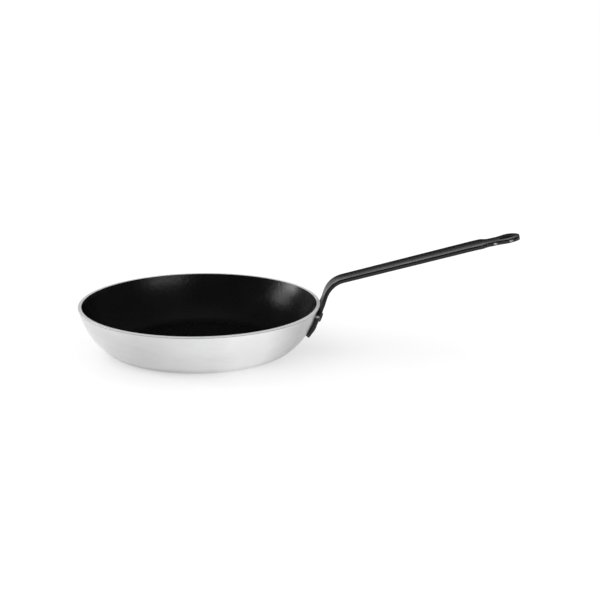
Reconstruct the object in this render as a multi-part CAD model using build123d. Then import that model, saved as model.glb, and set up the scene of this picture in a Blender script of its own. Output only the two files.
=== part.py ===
from build123d import *
import math
import os

# A frying pan: a spun aluminium bowl with a non-stick lining, and a handle of flat steel strip
# whose foot follows the bowl's outer wall and is held there by three rivets.
# Millimetres, Z up. The origin is the centre of the base's underside, and the handle points
# along +X. The pan is a mirror image of itself about the XZ plane.

# Bowl, all on its outer face
rim_radius = 140.0
bowl_height = 55.0
base_radius = 90.5
rim_slope = 77.2
corner_turn_share = 0.404
wall = 4.0
lining = 0.3
lip_round = 0.5

# Handle strip, all along its top face, which is the inner face where the strip stands upright
strip_thickness = 4.6
strip_edge_round = 1.5
handle_reach = 366.0
lip_turn_radius = 60.0
neck_slope = 71.3
neck_length = 6.3
bend_radius = 31.4
grip_slope = 14.8
tip_slope = 12.9
tip_bend_length = 14.0

# Handle widths
foot_width = 60.0
neck_width = 43.0
grip_start_width = 28.8
grip_end_width = 33.0
neck_taper = 46.0
grip_trough_radius = 150.0

# Foot of the handle
foot_below_rim = 33.5
foot_corner_width = 10.0
foot_corner_height = 13.0
foot_gap = 0.1
shoulder_length = 10.5
shoulder_drop = 1.0
flatten_below_rim = 8.0
flatten_length = 14.0

# Hanging eye at the handle's end
eye_width = 30.0
eye_length = 45.0
tip_flat = 9.0
waist_width = 24.0
waist_to_tip = 27.0
notch_length = 9.0
hang_hole_length = 15.0
hang_hole_width = 8.6
hang_hole_to_tip = 15.0

# Rivets
shank_radius = 2.5
rivet_clearance = 0.05
head_radius = 5.3
head_height = 1.7
head_crown = 0.4
head_edge_round = 0.5
head_skirt = 0.5
upper_rivet_spacing = 24.0
upper_rivets_below_rim = 11.0
lower_rivet_below_rim = 28.2

overrun = 5.0

# Number of lofted steps in each stretch of the strip
foot_steps = 8
shoulder_steps = 8
lip_turn_steps = 4
neck_steps = 2
bend_steps = 9
grip_entry_steps = 4
grip_steps = 7
tip_bend_steps = 3
notch_steps = 5
waist_steps = 7
tip_steps = 6


def section_arcs(flare, rise, end):
    """The corner's turn and radius, then the wall's radius: two tangent arcs from base to rim."""
    least_turn = 2 * math.atan2(rise, flare) - end
    turn = least_turn + corner_turn_share * (end - least_turn)
    across = math.sin(end) - math.sin(turn)
    up = math.cos(turn) - math.cos(end)
    scale = math.sin(turn) * up - across * (1 - math.cos(turn))
    first = (flare * up - rise * across) / scale
    second = (rise * math.sin(turn) - flare * (1 - math.cos(turn))) / scale
    return turn, first, second


rim_turn = math.radians(rim_slope)
corner_turn, corner_radius, wall_radius = section_arcs(rim_radius - base_radius, bowl_height, rim_turn)
wall_x = rim_radius - wall_radius * math.sin(rim_turn)
wall_z = bowl_height + wall_radius * math.cos(rim_turn)


def wall_slope(height):
    """Slope of the outer wall at a height, in radians from level."""
    return math.acos((wall_z - height) / wall_radius)


def wall_point(height, outward=0.0):
    """Radius and height of the point that lies outward of the wall, square to it."""
    slope = wall_slope(height)
    reach = wall_radius + outward
    return wall_x + reach * math.sin(slope), wall_z - reach * math.cos(slope)


def bowl_line(inset, edge_round=0.0):
    """Section of the bowl's face at a depth below its outer face, from the axis to the lip."""
    turn = math.degrees(corner_turn)
    reach = wall_radius - inset
    edge_z = bowl_height - edge_round
    edge_x = wall_x + math.sqrt((reach - edge_round) ** 2 - (wall_z - edge_z) ** 2)
    end = math.degrees(math.atan2(edge_z - wall_z, edge_x - wall_x))
    floor = Line((0, inset), (base_radius, inset))
    corner = CenterArc((base_radius, corner_radius), corner_radius - inset, -90, turn)
    side = CenterArc((wall_x, wall_z), reach, turn - 90, end + 90 - turn)
    edge = [CenterArc((edge_x, edge_z), edge_round, end, 90 - end)] if edge_round else []
    return [floor, corner, side] + edge


def bowl_shell(outer_inset, inner_inset, edge_round=0.0):
    """Solid of revolution between two depths below the bowl's outer face, its outer edge rounded."""
    outer = bowl_line(outer_inset, edge_round)
    inner = bowl_line(inner_inset)
    lip = Line(outer[-1] @ 1, inner[-1] @ 1)
    axis = Line((0, outer_inset), (0, inner_inset))
    return revolve(Plane.XZ * make_face(outer + inner + [lip, axis]), Axis.Z)


def rivet_planes():
    """Seat of each rivet on the outer wall: origin on the wall, Z axis pointing outward."""
    seats = {
        "rivet_upper_left": (upper_rivets_below_rim, upper_rivet_spacing / 2),
        "rivet_upper_right": (upper_rivets_below_rim, -upper_rivet_spacing / 2),
        "rivet_lower": (lower_rivet_below_rim, 0.0),
    }
    planes = {}
    for name, (below_rim, sideways) in seats.items():
        height = bowl_height - below_rim
        radius, level = wall_point(height)
        slope = wall_slope(height)
        around = math.asin(sideways / radius)
        origin = (radius * math.cos(around), sideways, level)
        outward = (
            math.sin(slope) * math.cos(around),
            math.sin(slope) * math.sin(around),
            -math.cos(slope),
        )
        planes[name] = Plane(origin=origin, z_dir=outward)
    return planes


def rivet_holes():
    """Cylinders that clear every rivet shank through wall, lining and foot."""
    depth = wall + lining + strip_thickness + 2 * overrun
    hole = Cylinder(shank_radius + rivet_clearance, depth)
    return Part() + [plane * hole for plane in rivet_planes().values()]


def bowl():
    """The aluminium bowl with its bare, slightly rounded lip."""
    return bowl_shell(0.0, wall, lip_round) - rivet_holes()


def bowl_lining():
    """The black non-stick film on the bowl's inner face."""
    return bowl_shell(wall, wall + lining) - rivet_holes()


def ease(share):
    """Smooth step from 0 to 1."""
    share = min(max(share, 0.0), 1.0)
    return share * share * (3 - 2 * share)


def even(steps):
    """Ends of even steps, as shares of a stretch."""
    return [(index + 1) / steps for index in range(steps)]


def eye_shares():
    """Ends of the steps through notch, waist and round tip, as shares of the eye's length."""
    round_length = tip_round_length()
    notch = [share * notch_length for share in even(notch_steps)]
    waist_length = eye_length - round_length - notch_length
    waist = [notch_length + share * waist_length for share in even(waist_steps)]
    full_turn = math.asin(2 * round_length / eye_width)
    turns = [share * full_turn for share in even(tip_steps)]
    tip = [eye_length - round_length + eye_width / 2 * math.sin(turn) for turn in turns]
    return [place / eye_length for place in notch + waist + tip]


def strip_stretches():
    """Length, first and last slope, and step ends of each stretch, from the foot upward."""
    foot_radius = wall_radius + foot_gap
    foot_slope = wall_slope(bowl_height - foot_below_rim)
    neck = math.radians(neck_slope)
    grip = math.radians(grip_slope)
    shoulder = shoulder_length + shoulder_drop
    shoulder_slope = rim_turn - shoulder / foot_radius
    foot_length = foot_radius * (shoulder_slope - foot_slope)
    stretches = [
        (foot_length, foot_slope, shoulder_slope, even(foot_steps)),
        (shoulder, shoulder_slope, rim_turn, even(shoulder_steps)),
        (lip_turn_radius * abs(rim_turn - neck), rim_turn, neck, even(lip_turn_steps)),
        (neck_length, neck, neck, even(neck_steps)),
        (bend_radius * (neck - grip), neck, grip, even(bend_steps)),
        (strip_thickness * grip_entry_steps, grip, grip, even(grip_entry_steps)),
    ]
    tip = math.radians(tip_slope)
    ending = [(tip_bend_length, grip, tip, even(tip_bend_steps)), (eye_length, tip, tip, eye_shares())]
    reached = strip_path(stretches + ending)[-1][1]
    straight = ((handle_reach - reached) / math.cos(grip), grip, grip, even(grip_steps))
    return stretches + [straight] + ending


def strip_path(stretches):
    """Distance from the rim, X, Z and slope at each step along the strip's top face."""
    x, z = wall_point(bowl_height - foot_below_rim, foot_gap)
    distance = -stretches[0][0] - stretches[1][0]
    stations = [(distance, x, z, stretches[0][1])]
    for length, first, last, shares in stretches:
        for before, after in zip([0] + shares, shares):
            step = (after - before) * length
            half_turn = (after - before) * (last - first) / 2
            middle = first + (after + before) * (last - first) / 2
            chord = step if half_turn == 0 else step * math.sin(half_turn) / half_turn
            x += chord * math.cos(middle)
            z += chord * math.sin(middle)
            distance += step
            stations.append((distance, x, z, middle + half_turn))
    return stations


def tip_round_length():
    """Length of the tip's round, from the eye's widest place to the tip's short flat."""
    return math.sqrt(eye_width * eye_width - tip_flat * tip_flat) / 2


def eye_half_width(to_tip):
    """Half of the eye's width at a distance from the tip."""
    round_length = tip_round_length()
    if to_tip < round_length:
        return math.sqrt(eye_width * eye_width / 4 - (round_length - to_tip) ** 2)
    to_waist = ease((to_tip - round_length) / (waist_to_tip - round_length))
    to_grip = ease((to_tip - eye_length + notch_length) / notch_length)
    width = eye_width + (waist_width - eye_width) * to_waist + (grip_end_width - waist_width) * to_grip
    return width / 2


def half_width(distance, start, end):
    """Half of the strip's width at a distance past the rim, on a strip from start to end."""
    grip_end = end - eye_length
    if distance > grip_end:
        return eye_half_width(end - distance)
    to_corner = max(0.0, 1 - (distance - start) / foot_corner_height)
    to_neck = ease((distance + shoulder_length + shoulder_drop) / shoulder_length)
    to_grip = ease(distance / neck_taper)
    to_end = max(0.0, distance - neck_taper) / (grip_end - neck_taper)
    width = foot_width
    width -= 2 * foot_corner_width * to_corner * to_corner
    width += (neck_width - foot_width) * to_neck
    width += (grip_start_width - neck_width) * to_grip
    width += (grip_end_width - grip_start_width) * to_end
    return width / 2


def strip_section(station, start, end):
    """Section of the strip: curved like the wall on the foot, flat at the rim, dished on the grip."""
    distance, x, z, slope = station
    half = half_width(distance, start, end)
    flat = ease((distance + flatten_below_rim) / flatten_length)
    crown = (1 - flat) * math.sin(slope) / x + ease(distance / neck_taper) / grip_trough_radius
    inner = half - strip_edge_round
    rise = crown * inner * inner / 2
    corner = rise + crown * inner * strip_edge_round
    top = [(-inner, rise), (0, -rise), (inner, rise)]
    top_corner = [(inner, rise), (half, corner), (half, corner - strip_edge_round)]
    low = corner - strip_thickness
    side = [(half, corner - strip_edge_round), (half, low + strip_edge_round)]
    low_corner = [(half, low + strip_edge_round), (half, low), (inner, rise - strip_thickness)]
    bottom = [(u, v - strip_thickness) for u, v in reversed(top)]
    right = [top_corner, side, low_corner]
    left = [[(-u, v) for u, v in reversed(curve)] for curve in reversed(right)]
    outline = [Bezier(*curve) for curve in [top] + right + [bottom] + left]
    plane = Plane(origin=(x, 0, z), x_dir=(0, 1, 0), z_dir=(math.cos(slope), 0, math.sin(slope)))
    return plane * make_face(outline)


def strip():
    """The bent strip, from the foot's lower end to the tip."""
    stations = strip_path(strip_stretches())
    start = stations[0][0]
    end = stations[-1][0]
    return loft([strip_section(station, start, end) for station in stations])


def hang_hole():
    """Cutter for the oblong hole in the hanging eye."""
    _, x, z, slope = strip_path(strip_stretches())[-1]
    tip = Plane(
        origin=(x, 0, z),
        x_dir=(-math.cos(slope), 0, -math.sin(slope)),
        z_dir=(-math.sin(slope), 0, math.cos(slope)),
    )
    hole = Pos(hang_hole_to_tip, 0) * SlotOverall(hang_hole_length, hang_hole_width)
    return extrude(tip * hole, amount=strip_thickness + overrun, both=True)


def handle():
    """The handle: bent strip with its hanging hole and rivet holes."""
    return strip() - hang_hole() - rivet_holes()


def rivet_head():
    """A low domed head on the XY plane, with a sunk skirt that its seat trims."""
    shoulder = (head_radius - head_edge_round, head_height - head_crown)
    side_top = (head_radius, shoulder[1] - head_edge_round)
    crown = TangentArc((0, head_height), shoulder, tangent=(1, 0))
    outline = [
        Line((0, -head_skirt), (head_radius, -head_skirt)),
        Line((head_radius, -head_skirt), side_top),
        TangentArc(shoulder, side_top, tangent=crown % 1),
        crown,
        Line((0, head_height), (0, -head_skirt)),
    ]
    return revolve(Plane.XZ * make_face(outline), Axis.Z)


def rivet(plane, foot, film, body):
    """A rivet upset on the foot outside and on the lining inside, each head trimmed by its seat."""
    outer_seat = foot_gap + strip_thickness
    inner_seat = -(wall + lining)
    shank = Pos(0, 0, (outer_seat + inner_seat) / 2) * Cylinder(shank_radius, outer_seat - inner_seat)
    outer_head = plane * Pos(0, 0, outer_seat) * rivet_head() - foot
    inner_head = plane * Pos(0, 0, inner_seat) * Rot(180, 0, 0) * rivet_head() - film - body
    return plane * shank + outer_head + inner_head


def pieces():
    """Every piece of the pan by its node name."""
    parts = {"pan_body": bowl(), "nonstick_lining": bowl_lining(), "handle": handle()}
    held = (parts["handle"], parts["nonstick_lining"], parts["pan_body"])
    for name, plane in rivet_planes().items():
        parts[name] = rivet(plane, *held)
    return parts


def main():
    os.makedirs("parts", exist_ok=True)
    for name, part in pieces().items():
        part.label = name
        export_step(part, f"parts/{name}.step")


if __name__ == "__main__":
    main()
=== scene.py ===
import math

import bpy
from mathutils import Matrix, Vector


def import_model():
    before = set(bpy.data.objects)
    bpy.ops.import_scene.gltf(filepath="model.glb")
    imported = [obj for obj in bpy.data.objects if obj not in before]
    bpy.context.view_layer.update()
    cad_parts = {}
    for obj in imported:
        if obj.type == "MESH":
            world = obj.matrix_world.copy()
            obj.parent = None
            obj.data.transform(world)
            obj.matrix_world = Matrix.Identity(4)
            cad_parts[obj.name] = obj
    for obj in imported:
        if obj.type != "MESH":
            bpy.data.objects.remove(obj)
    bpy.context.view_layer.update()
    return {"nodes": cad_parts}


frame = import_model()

# The dressed frying pan: metres, Z up, the same frame as the solids. The pan stands on the floor
# at Z = 0 with the handle along +X. Materials are procedural and follow the object's own coordinates.

# Camera, at the photograph's angle
camera_place = (0.16175, -1.7274, 0.53465)
camera_tilt = math.radians(74.62)
camera_turn = math.radians(1.5)
camera_lens_mm = 93.0
camera_sensor_mm = 36.0

# Floor
floor_half = 15.0
floor_colour = (0.62, 0.62, 0.62, 1)
floor_roughness = 0.9
floor_glow = 0.50

# Room: brightness of its parts, and heights in it as the upward part of a direction of length 1
white = (1, 1, 1, 1)
backdrop_white = 1.0
backdrop_rise = 0.31
backdrop_focus = 16.0
side_rise = 0.05
room_grey = 0.05
overhead_white = 0.16
overhead_start = 0.8
soft_fill = 0.82

# Lamps: directions from the target in degrees, lengths in metres, power in watts
target = (0.03, 0.0, 0.03)
lamps = {
    "left_box": {"azimuth": 173, "elevation": 14, "distance": 1.7, "size": (0.46, 0.80), "power": 5.6},
    "left_lamp": {"azimuth": 165, "elevation": 5, "distance": 1.6, "size": (0.22, 0.14), "power": 2.4},
    "right_box": {"azimuth": -50, "elevation": 19, "distance": 2.0, "size": (1.3, 0.4), "power": 5.5},
}

# Colours
# The bowl's tone runs from the dull to the bright metal and holds random tone, painted reflection bands,
# a painted highlight band and painted shade beside the handle.
metal_dull = (0.52, 0.52, 0.525, 1)
metal_bright = (0.84, 0.84, 0.845, 1)
# The next two are painted shade: along the base edge, and a line under the lip.
metal_base_shade = (0.24, 0.24, 0.245, 1)
metal_lip_shade = (0.34, 0.34, 0.345, 1)
metal_lip = (0.86, 0.86, 0.865, 1)
black_low = (0.003, 0.003, 0.0032, 1)
black_high = (0.007, 0.007, 0.0075, 1)
# Steel, for worn edges and for painted glints on the handle.
steel_for_wear_and_glints = (0.60, 0.60, 0.61, 1)

# Noise patterns. A larger scale or stretch makes a pattern finer.
bowl_lines = {"scale": 1.0, "detail": 3.0, "roughness": 0.6, "stretch": (1.2, 1.2, 2600)}
bowl_bands = {"scale": 1.0, "detail": 2.0, "roughness": 0.5, "stretch": (1.6, 1.6, 25)}
bowl_cloud = {"scale": 14.0, "detail": 3.0, "roughness": 0.5}
bowl_wear = {"scale": 90.0, "detail": 6.0, "roughness": 0.7}
film_peel = {"scale": 900.0, "detail": 2.0, "roughness": 0.5}
film_ripple = {"scale": 230.0, "detail": 3.0, "roughness": 0.6}
film_lines = {"scale": 1.0, "detail": 2.0, "roughness": 0.5, "stretch": (1.0, 1.0, 900)}
film_cloud = {"scale": 22.0, "detail": 4.0, "roughness": 0.55}
coat_peel = {"scale": 1100.0, "detail": 2.0, "roughness": 0.5}
coat_cloud = {"scale": 45.0, "detail": 4.0, "roughness": 0.6}
coat_wear = {"scale": 260.0, "detail": 5.0, "roughness": 0.7}

# The ranges below hold where a value starts and where it ends, then what comes of it at its start
# and at its end. Where these two aren't given, they are 0 and 1. Bumps hold a strength and a depth.

# Bowl, by height, by the direction from the axis (1 is toward the handle) and by noise
lip_height = 0.055
lip_range = (lip_height - 0.0007, lip_height - 0.0003)
# A painted shade line just under the lip.
lip_shade_range = (lip_height - 0.0016, lip_height - 0.0012)
underside_range = (0.0002, 0.0015, 1.0, 0.0)
# Painted shade along the base edge, and how much of it by the direction from the axis.
base_shade_range = (0.001, 0.011, 1.0, 0.0)
base_shade_share = (-0.9, 0.4, 0.95, 0.25)
# Painted light on the wall, by the direction from the axis: first a painted highlight band, then painted
# shade beside the handle.
painted_highlight_band = (0.20, 0.45, 0.12, 0.34)
painted_shade_by_handle = (0.58, 0.95, 0.34, -0.72)
# Painted reflection bands round the wall: how many, where they start, and how deep.
reflection_wave_count = 3.0
reflection_wave_start = 3.0
reflection_wave_depth = 0.22
bands_share = 0.6
cloud_share = 0.4
scuff_range = (0.45, 0.65)
scuff_roughness = 0.15
metal_roughness = (0.3, 0.7, 0.26, 0.34)
metal_anisotropy = 0.5
wall_metallic = 1.0
lip_metallic = 0.2
metal_bump = (0.04, 0.00008)

# Lining
film_roughness = (0.3, 0.7, 0.23, 0.32)
film_specular = 0.3
film_ripple_bump = (0.34, 0.0008)
film_peel_bump = (0.15, 0.00005)
film_lines_bump = (0.08, 0.00005)

# Coat of the handle and the rivets, by X, by height and by noise
edge_reach = 0.0009
edge_samples = 4
edge_range = (0.985, 0.93)
handle_wear = (0.60, 0.72)
rivet_wear = (0.52, 0.66)
wear_and_glint_metallic = 0.3
coat_roughness = (0.3, 0.7, 0.21, 0.31)
edge_roughness = 0.35
beside_bowl_roughness = (0.148, 0.160, 0.11, 0.0)
low_roughness = (0.050, 0.060, 0.28, 0.0)
coat_specular = 0.42
coat_bump = (0.2, 0.00005)

# Painted glints on the handle, drawn as coat worn through to the steel: centre, with Y on either side,
# and reach
painted_glints = {
    "waist": ((0.3385, 0.012, 0.1302), 0.0028),
    "eye": ((0.3560, 0.0145, 0.1343), 0.0028),
    "foot_corner": ((0.1372, 0.0280, 0.0470), 0.0031),
}
glint_flatness = (1.0, 1.0, 2.2)
glint_core = 0.35
glint_noise_range = (0.35, 0.5)


def tree_of(name):
    """A new node material: its node tree and its principled shader."""
    material = bpy.data.materials.new(name)
    material.use_nodes = True
    tree = material.node_tree
    shader = tree.nodes["Principled BSDF"]
    return material, tree, shader


def node(tree, kind, inputs=None, **settings):
    """A new shader node. Inputs that are sockets are linked, and the others are set."""
    made = tree.nodes.new(kind)
    for key, value in settings.items():
        setattr(made, key, value)
    for key, value in (inputs or {}).items():
        put(tree, made.inputs[key], value)
    return made


def put(tree, socket, value):
    """Links a socket to another, or sets its value."""
    if isinstance(value, bpy.types.NodeSocket):
        tree.links.new(value, socket)
    else:
        socket.default_value = value


def math_node(tree, operation, first, second=0.0, clamp=False):
    """The result of a math node."""
    made = node(tree, "ShaderNodeMath", {0: first, 1: second}, operation=operation, use_clamp=clamp)
    return made.outputs[0]


def plus(tree, first, second, clamp=False):
    """The sum of two values."""
    return math_node(tree, "ADD", first, second, clamp)


def times(tree, first, second):
    """The product of two values."""
    return math_node(tree, "MULTIPLY", first, second)


def vector_node(tree, operation, *values, output="Vector"):
    """The result of a vector math node. The output Value holds a length or a dot product."""
    made = node(tree, "ShaderNodeVectorMath", dict(enumerate(values)), operation=operation)
    return made.outputs[output]


def noise(tree, vector, scale, detail, roughness, stretch=(1, 1, 1)):
    """Noise from 0 to 1 on a vector in metres, stretched along its axes."""
    mapped = node(tree, "ShaderNodeMapping", {"Vector": vector, "Scale": stretch})
    inputs = {"Vector": mapped.outputs[0], "Scale": scale, "Detail": detail, "Roughness": roughness}
    return node(tree, "ShaderNodeTexNoise", inputs).outputs[0]


def blend_colour(tree, share, low, high):
    """The low colour where the share is 0, the high colour where it is 1."""
    return node(tree, "ShaderNodeMix", {0: share, 6: low, 7: high}, data_type="RGBA").outputs[2]


def ramp(tree, value, low, high, out_low=0.0, out_high=1.0, **settings):
    """Maps a value from one range to another, held at its ends."""
    inputs = {0: value, 1: low, 2: high, 3: out_low, 4: out_high}
    return node(tree, "ShaderNodeMapRange", inputs, **settings).outputs[0]


def bump(tree, height, strength, distance, normal=None):
    """A normal bent by a height, and by another bump below it if one is given."""
    inputs = {"Height": height, "Strength": strength, "Distance": distance}
    if normal is not None:
        inputs["Normal"] = normal
    return node(tree, "ShaderNodeBump", inputs).outputs[0]


def round_coordinates(tree):
    """Object coordinates, height, the angle round the pan's axis, and a vector for turned lines.

    The vector holds the direction from the axis as a cosine and a sine, so it has no seam, and the
    way along the bowl's outline.
    """
    place = node(tree, "ShaderNodeTexCoord").outputs["Object"]
    x, y, z = node(tree, "ShaderNodeSeparateXYZ", {0: place}).outputs
    radius = math_node(tree, "SQRT", plus(tree, times(tree, x, x), times(tree, y, y)))
    angle = math_node(tree, "ARCTAN2", y, x)
    along = plus(tree, radius, z)
    parts = {0: math_node(tree, "COSINE", angle), 1: math_node(tree, "SINE", angle), 2: along}
    turned = node(tree, "ShaderNodeCombineXYZ", parts).outputs[0]
    return place, z, angle, turned


def bowl_tone_and_painted_light(tree, place, turned, angle, toward_handle):
    """Tone of the clean metal from 0 to 1: random soft tone, painted reflection bands round the wall, a
    painted highlight band, and painted shade, darkest beside the handle.
    """
    bands = noise(tree, turned, **bowl_bands)
    cloud = noise(tree, place, **bowl_cloud)
    # Painted reflection bands round the wall.
    turn = plus(tree, times(tree, angle, reflection_wave_count), reflection_wave_start)
    painted_reflection_wave = times(tree, math_node(tree, "COSINE", turn), reflection_wave_depth)
    drift = plus(tree, times(tree, bands, bands_share), times(tree, cloud, cloud_share))
    # A painted highlight band, then painted shade beside the handle.
    rise = ramp(tree, toward_handle, *painted_highlight_band)
    painted_shade_drop = ramp(tree, toward_handle, *painted_shade_by_handle)
    shade = math_node(tree, "MINIMUM", rise, painted_shade_drop)
    return plus(tree, plus(tree, painted_reflection_wave, drift), shade, clamp=True)


def bowl_colour(tree, tone, scuff, height, lip, toward_handle):
    """The metal's colour, with scuffs, painted shade along the base edge, and a painted shade line under
    a bright lip.

    The painted shade at the base is darkest on the side away from the handle.
    """
    clean = blend_colour(tree, tone, metal_dull, metal_bright)
    scuffed = blend_colour(tree, scuff, clean, metal_dull)
    # Painted shade along the base edge, darkest on the side away from the handle.
    share = ramp(tree, toward_handle, *base_shade_share)
    base_shade = times(tree, ramp(tree, height, *base_shade_range), share)
    used = blend_colour(tree, base_shade, scuffed, metal_base_shade)
    # A painted shade line just under the lip.
    line = math_node(tree, "SUBTRACT", ramp(tree, height, *lip_shade_range), lip)
    lip_shaded = blend_colour(tree, line, used, metal_lip_shade)
    return blend_colour(tree, lip, lip_shaded, metal_lip)


def spun_aluminium():
    """Bare spun aluminium: fine turned lines, soft tone bands with painted reflection bands and painted
    shade beside the handle, a bright cut lip with a painted shade line under it, a worn base, and painted
    shade along the base edge.
    """
    material, tree, shader = tree_of("spun_aluminium")
    place, height, angle, turned = round_coordinates(tree)
    lines = noise(tree, turned, **bowl_lines)
    toward_handle = math_node(tree, "COSINE", angle)
    tone = bowl_tone_and_painted_light(tree, place, turned, angle, toward_handle)
    lip = ramp(tree, height, *lip_range)
    underside = ramp(tree, height, *underside_range)
    worn = noise(tree, place, **bowl_wear)
    scuff = times(tree, underside, ramp(tree, worn, *scuff_range))
    colour = bowl_colour(tree, tone, scuff, height, lip, toward_handle)
    rough = plus(tree, ramp(tree, lines, *metal_roughness), times(tree, scuff, scuff_roughness))
    put(tree, shader.inputs["Metallic"], ramp(tree, lip, 0.0, 1.0, wall_metallic, lip_metallic))
    shader.inputs["Anisotropic"].default_value = metal_anisotropy
    tangent = node(tree, "ShaderNodeTangent", direction_type="RADIAL", axis="Z").outputs[0]
    put(tree, shader.inputs["Tangent"], tangent)
    put(tree, shader.inputs["Base Color"], colour)
    put(tree, shader.inputs["Roughness"], rough)
    put(tree, shader.inputs["Normal"], bump(tree, lines, *metal_bump))
    return material


def nonstick():
    """Sprayed non-stick film: near black, a soft ripple, a fine orange peel and faint turned lines."""
    material, tree, shader = tree_of("nonstick_film")
    place, _, _, turned = round_coordinates(tree)
    peel = noise(tree, place, **film_peel)
    ripple = noise(tree, place, **film_ripple)
    lines = noise(tree, turned, **film_lines)
    cloud = noise(tree, place, **film_cloud)
    put(tree, shader.inputs["Base Color"], blend_colour(tree, cloud, black_low, black_high))
    put(tree, shader.inputs["Roughness"], ramp(tree, cloud, *film_roughness))
    shader.inputs["Specular IOR Level"].default_value = film_specular
    rippled = bump(tree, ripple, *film_ripple_bump)
    sprayed = bump(tree, peel, *film_peel_bump, rippled)
    put(tree, shader.inputs["Normal"], bump(tree, lines, *film_lines_bump, sprayed))
    return material


def painted_glint_spot(tree, place, centre, reach):
    """1 at a painted glint on either side of the handle, falling to 0 at its reach."""
    mirrored = vector_node(tree, "ABSOLUTE", place)
    away = vector_node(tree, "SUBTRACT", mirrored, centre)
    flat = vector_node(tree, "MULTIPLY", away, glint_flatness)
    distance = vector_node(tree, "LENGTH", flat, output="Value")
    return ramp(tree, distance, glint_core * reach, reach, 1.0, 0.0)


def sharp_edge(tree):
    """1 along the edges, where the normal turns quickly, and 0 on the faces."""
    normal = node(tree, "ShaderNodeNewGeometry").outputs["Normal"]
    soft_normal = node(tree, "ShaderNodeBevel", {"Radius": edge_reach}, samples=edge_samples).outputs[0]
    match = vector_node(tree, "DOT_PRODUCT", soft_normal, normal, output="Value")
    return ramp(tree, match, *edge_range)


def added_roughness(tree, place, edge):
    """What the coat gains in roughness: on its edges, beside the bowl, and low on the foot and rivets."""
    along, _, height = node(tree, "ShaderNodeSeparateXYZ", {0: place}).outputs
    beside_bowl = ramp(tree, along, *beside_bowl_roughness)
    near_bowl = plus(tree, beside_bowl, ramp(tree, height, *low_roughness))
    return plus(tree, times(tree, edge, edge_roughness), near_bowl, clamp=True)


def coated_steel(name, glint_spots, wear_range):
    """Black coat on steel: fine orange peel, soft tone changes, edges worn down to the steel, and painted
    glints drawn as worn spots of steel.
    """
    material, tree, shader = tree_of(name)
    place = node(tree, "ShaderNodeTexCoord").outputs["Object"]
    peel = noise(tree, place, **coat_peel)
    cloud = noise(tree, place, **coat_cloud)
    wear_and_glint_noise = noise(tree, place, **coat_wear)
    edge = sharp_edge(tree)
    wear_and_glints = times(tree, edge, ramp(tree, wear_and_glint_noise, *wear_range))
    # Painted glints, drawn as coat worn through to the steel.
    for centre, reach in glint_spots:
        glint = times(tree, painted_glint_spot(tree, place, centre, reach), ramp(tree, wear_and_glint_noise, *glint_noise_range))
        wear_and_glints = math_node(tree, "MAXIMUM", wear_and_glints, glint)
    coat = blend_colour(tree, cloud, black_low, black_high)
    put(tree, shader.inputs["Base Color"], blend_colour(tree, wear_and_glints, coat, steel_for_wear_and_glints))
    put(tree, shader.inputs["Metallic"], times(tree, wear_and_glints, wear_and_glint_metallic))
    gained = added_roughness(tree, place, edge)
    put(tree, shader.inputs["Roughness"], plus(tree, ramp(tree, cloud, *coat_roughness), gained))
    shader.inputs["Specular IOR Level"].default_value = coat_specular
    put(tree, shader.inputs["Normal"], bump(tree, peel, *coat_bump))
    return material


def dress():
    """Gives each node its material."""
    looks = {
        "pan_body": spun_aluminium(),
        "nonstick_lining": nonstick(),
        "handle": coated_steel("handle_coat", painted_glints.values(), handle_wear),
    }
    rivet_look = coated_steel("rivet_coat", [], rivet_wear)
    for name, piece in frame["nodes"].items():
        piece.data.materials.clear()
        piece.data.materials.append(looks.get(name, rivet_look))


def floor_white():
    """A white that glows to the camera and in reflections, and is clear from below."""
    material, tree, shader = tree_of("floor_white")
    shader.inputs["Base Color"].default_value = floor_colour
    shader.inputs["Roughness"].default_value = floor_roughness
    shader.inputs["Specular IOR Level"].default_value = 0.0
    path = node(tree, "ShaderNodeLightPath")
    seen = plus(tree, path.outputs["Is Camera Ray"], path.outputs["Is Glossy Ray"])
    seen = plus(tree, seen, path.outputs["Is Transmission Ray"], clamp=True)
    shader.inputs["Emission Color"].default_value = white
    put(tree, shader.inputs["Emission Strength"], times(tree, seen, floor_glow))
    below = node(tree, "ShaderNodeNewGeometry").outputs["Backfacing"]
    clear = node(tree, "ShaderNodeBsdfTransparent").outputs[0]
    sheet = node(tree, "ShaderNodeMixShader", {0: below, 1: shader.outputs[0], 2: clear}).outputs[0]
    put(tree, tree.nodes["Material Output"].inputs["Surface"], sheet)
    return material


def floor():
    """A pale floor that looks white and keeps the shadow."""
    mesh = bpy.data.meshes.new("floor")
    corners = [(-floor_half, -floor_half, 0), (floor_half, -floor_half, 0),
               (floor_half, floor_half, 0), (-floor_half, floor_half, 0)]
    mesh.from_pydata(corners, [], [(0, 1, 2, 3)])
    plane = bpy.data.objects.new("floor", mesh)
    bpy.context.scene.collection.objects.link(plane)
    mesh.materials.append(floor_white())


def white_light(tree, strength):
    """White light of the room at a strength."""
    return node(tree, "ShaderNodeBackground", {"Color": white, "Strength": strength}).outputs[0]


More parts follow.
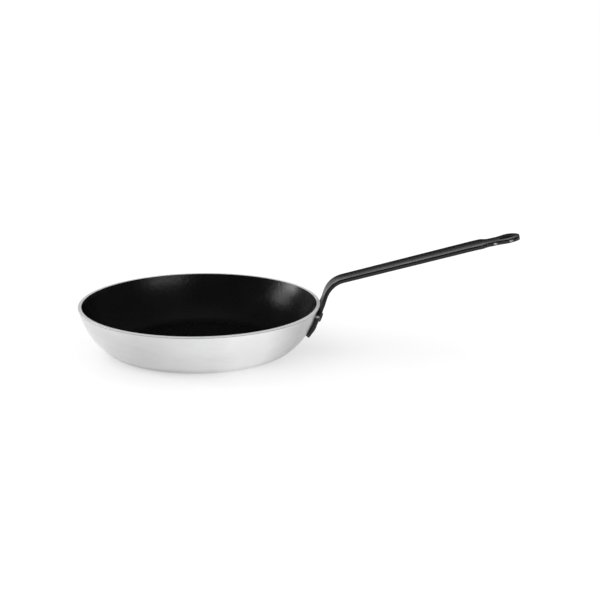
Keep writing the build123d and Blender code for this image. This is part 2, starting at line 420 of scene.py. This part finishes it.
def world():
    """A white sweep behind the pan and a darker room elsewhere, with an even fill for diffuse light."""
    studio = bpy.data.worlds.new("studio")
    bpy.context.scene.world = studio
    studio.use_nodes = True
    tree = studio.node_tree
    tree.nodes.clear()
    direction = node(tree, "ShaderNodeTexCoord").outputs["Generated"]
    _, back, up = node(tree, "ShaderNodeSeparateXYZ", {0: direction}).outputs
    behind = math_node(tree, "POWER", math_node(tree, "MAXIMUM", back, 0.0), backdrop_focus)
    top = plus(tree, times(tree, behind, backdrop_rise), side_rise)
    rise = math_node(tree, "DIVIDE", up, top)
    sweep = ramp(tree, rise, 0.0, 1.0, backdrop_white, room_grey, interpolation_type="SMOOTHSTEP")
    overhead = ramp(tree, up, overhead_start, 1.0, 0.0, overhead_white, interpolation_type="SMOOTHSTEP")
    path = node(tree, "ShaderNodeLightPath")
    room = math_node(tree, "MAXIMUM", sweep, overhead)
    seen = ramp(tree, path.outputs["Is Camera Ray"], 0.0, 1.0, room, backdrop_white)
    backdrop = white_light(tree, seen)
    fill = white_light(tree, soft_fill)
    shares = {0: path.outputs["Is Diffuse Ray"], 1: backdrop, 2: fill}
    mixed = node(tree, "ShaderNodeMixShader", shares).outputs[0]
    node(tree, "ShaderNodeOutputWorld", {"Surface": mixed})


def soft_box(name, azimuth, elevation, distance, size, power):
    """An area lamp that looks at the target from a direction given in degrees."""
    turn = math.radians(azimuth)
    rise = math.radians(elevation)
    away = Vector((math.cos(turn) * math.cos(rise), math.sin(turn) * math.cos(rise), math.sin(rise)))
    lamp = bpy.data.lights.new(name, "AREA")
    lamp.shape = "RECTANGLE"
    lamp.size, lamp.size_y = size
    lamp.energy = power
    box = bpy.data.objects.new(name, lamp)
    box.location = Vector(target) + away * distance
    box.rotation_euler = away.to_track_quat("Z", "Y").to_euler()
    bpy.context.scene.collection.objects.link(box)


def camera():
    """The camera, sharp at every distance."""
    data = bpy.data.cameras.new("camera")
    data.lens = camera_lens_mm
    data.sensor_width = camera_sensor_mm
    data.clip_end = 2 * floor_half
    eye = bpy.data.objects.new("camera", data)
    eye.location = camera_place
    eye.rotation_euler = (camera_tilt, 0, camera_turn)
    bpy.context.scene.collection.objects.link(eye)
    bpy.context.scene.camera = eye


dress()
floor()
world()
for lamp_name, lamp_values in lamps.items():
    soft_box(lamp_name, **lamp_values)
camera()
bpy.context.scene.view_settings.view_transform = "Standard"
